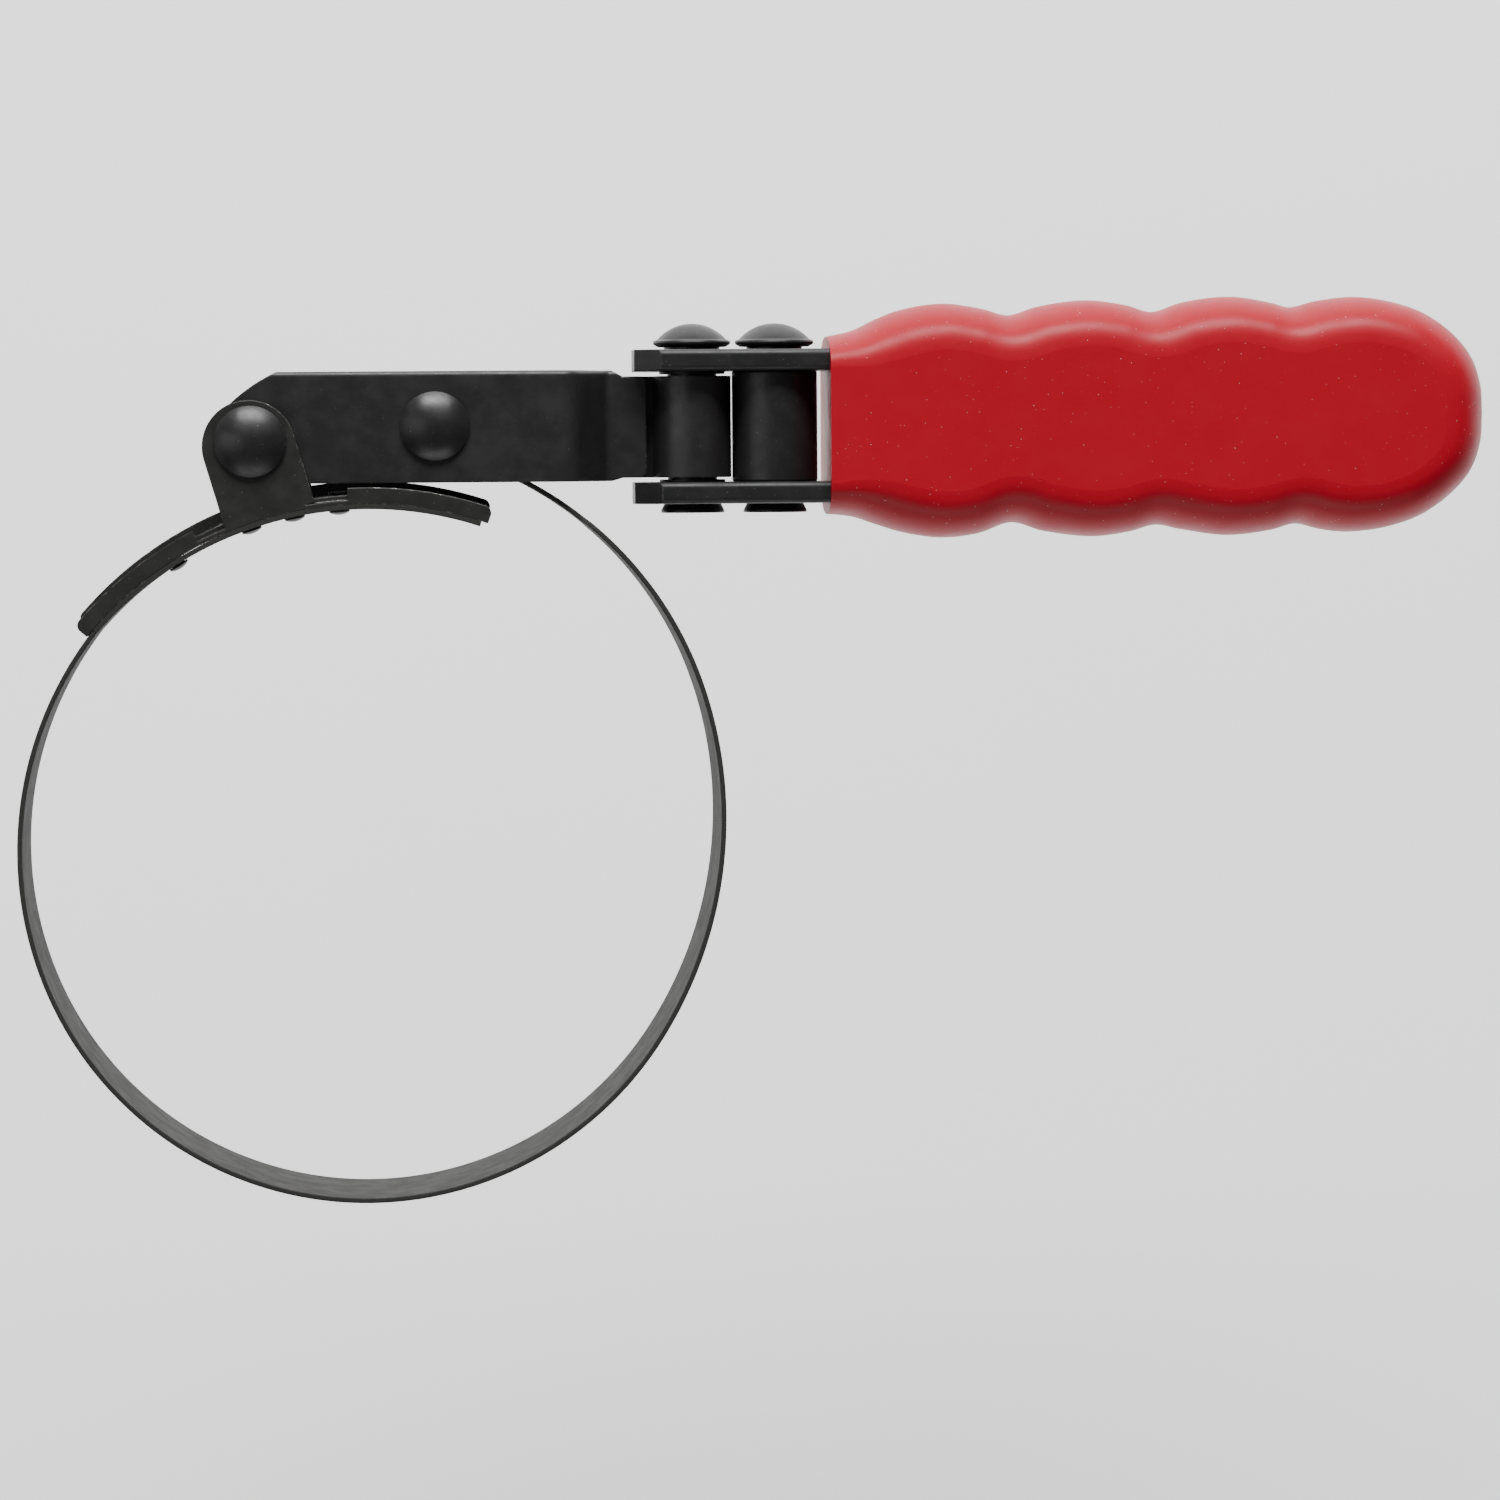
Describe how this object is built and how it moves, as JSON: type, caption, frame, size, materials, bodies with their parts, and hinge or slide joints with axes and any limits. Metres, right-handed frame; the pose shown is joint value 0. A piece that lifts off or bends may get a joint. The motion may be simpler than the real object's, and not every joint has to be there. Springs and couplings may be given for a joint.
{
  "type": "oil filter wrench",
  "caption": "Band-type oil filter wrench: a spring-steel strap loop tightened by a swinging lever, with a swivelling forked handle in a scalloped vinyl grip.",
  "frame": {"origin": "centre of the open band loop, on the band's middle plane", "axes": "+X along the handle away from the loop, +Y from the loop's far side towards the shoe and lever, +Z along the loop's axis, out of the front face with the domed pin heads"},
  "size_m": [0.2079, 0.1264, 0.0259],
  "materials": {
    "shoe_steel": "satin black, bright worn edges",
    "band_steel": "satin black spring steel, worn grey on the inside",
    "rivet_steel": "semi-gloss black",
    "lever_steel": "satin black, bright worn edges",
    "spacer_steel": "satin black",
    "fork_steel": "satin black",
    "grip_vinyl": "soft dipped vinyl, semi-gloss red"
  },
  "bodies": {
    "shoe": {"band_shoe": "shoe_steel", "band_fixed_strip": "band_steel", "band_rivet_1": "rivet_steel", "band_rivet_2": "rivet_steel", "band_rivet_3": "rivet_steel", "band_rivet_4": "rivet_steel", "pivot_rivet": "rivet_steel"},
    "lever": {"lever_plate_front": "lever_steel", "lever_plate_back": "lever_steel", "pivot_spacer": "spacer_steel", "anchor_rivet": "rivet_steel"},
    "handle": {"handle_fork": "fork_steel", "grip": "grip_vinyl", "swivel_rivet": "rivet_steel", "spacer_rivet": "rivet_steel", "spacer_sleeve": "spacer_steel", "swivel_washer_top": "spacer_steel", "swivel_washer_bottom": "spacer_steel"},
    "band_01": {"band_segment_1": "band_steel"},
    "band_02": {"band_segment_2": "band_steel"},
    "band_03": {"band_segment_3": "band_steel"},
    "band_04": {"band_segment_4": "band_steel"},
    "band_05": {"band_segment_5": "band_steel"},
    "band_06": {"band_segment_6": "band_steel"},
    "band_07": {"band_segment_7": "band_steel"},
    "band_08": {"band_segment_8": "band_steel"},
    "band_09": {"band_segment_9": "band_steel"},
    "band_10": {"band_tongue": "band_steel"}
  },
  "joints": [
    {"name": "lever_pivot", "type": "hinge", "parent": "shoe", "child": "lever", "pos_m": [-0.0163, 0.0567, 0], "axis": [0, 0, 1], "range_deg": [0, 45]},
    {"name": "handle_swivel", "type": "hinge", "parent": "lever", "child": "handle", "pos_m": [0.0459, 0.0584, 0], "axis": [0, 1, 0], "range_deg": [-90, 90]},
    {"name": "band_hinge_01", "type": "hinge", "parent": "shoe", "child": "band_01", "pos_m": [-0.03818, 0.03036, 0], "axis": [0, 0, 1], "range_deg": [0, 2.67]},
    {"name": "band_hinge_02", "type": "hinge", "parent": "band_01", "child": "band_02", "pos_m": [-0.0484, 0.00653, 0], "axis": [0, 0, 1], "range_deg": [0, 2.67]},
    {"name": "band_hinge_03", "type": "hinge", "parent": "band_02", "child": "band_03", "pos_m": [-0.04538, -0.01922, 0], "axis": [0, 0, 1], "range_deg": [0, 2.67]},
    {"name": "band_hinge_04", "type": "hinge", "parent": "band_03", "child": "band_04", "pos_m": [-0.0297, -0.03985, 0], "axis": [0, 0, 1], "range_deg": [0, 2.67]},
    {"name": "band_hinge_05", "type": "hinge", "parent": "band_04", "child": "band_05", "pos_m": [-0.00562, -0.04941, 0], "axis": [0, 0, 1], "range_deg": [0, 2.67]},
    {"name": "band_hinge_06", "type": "hinge", "parent": "band_05", "child": "band_06", "pos_m": [0.01994, -0.04515, 0], "axis": [0, 0, 1], "range_deg": [0, 2.67]},
    {"name": "band_hinge_07", "type": "hinge", "parent": "band_06", "child": "band_07", "pos_m": [0.03961, -0.0283, 0], "axis": [0, 0, 1], "range_deg": [-4.2, 0]},
    {"name": "band_hinge_08", "type": "hinge", "parent": "band_07", "child": "band_08", "pos_m": [0.04886, -0.00399, 0], "axis": [0, 0, 1], "range_deg": [-4.2, 0]},
    {"name": "band_hinge_09", "type": "hinge", "parent": "band_08", "child": "band_09", "pos_m": [0.04647, 0.0219, 0], "axis": [0, 0, 1], "range_deg": [-4.2, 0]},
    {"name": "band_hinge_10", "type": "hinge", "parent": "band_09", "child": "band_10", "pos_m": [0.03229, 0.04362, 0], "axis": [0, 0, 1], "range_deg": [-4.2, 0]}
  ],
  "couplings": [
    {"joint": "band_hinge_01", "follows": "lever_pivot", "ratio": 0.059},
    {"joint": "band_hinge_02", "follows": "lever_pivot", "ratio": 0.059},
    {"joint": "band_hinge_03", "follows": "lever_pivot", "ratio": 0.059},
    {"joint": "band_hinge_04", "follows": "lever_pivot", "ratio": 0.059},
    {"joint": "band_hinge_05", "follows": "lever_pivot", "ratio": 0.059},
    {"joint": "band_hinge_06", "follows": "lever_pivot", "ratio": 0.059},
    {"joint": "band_hinge_07", "follows": "lever_pivot", "ratio": -0.0931},
    {"joint": "band_hinge_08", "follows": "lever_pivot", "ratio": -0.0931},
    {"joint": "band_hinge_09", "follows": "lever_pivot", "ratio": -0.0931},
    {"joint": "band_hinge_10", "follows": "lever_pivot", "ratio": -0.0931}
  ]
}
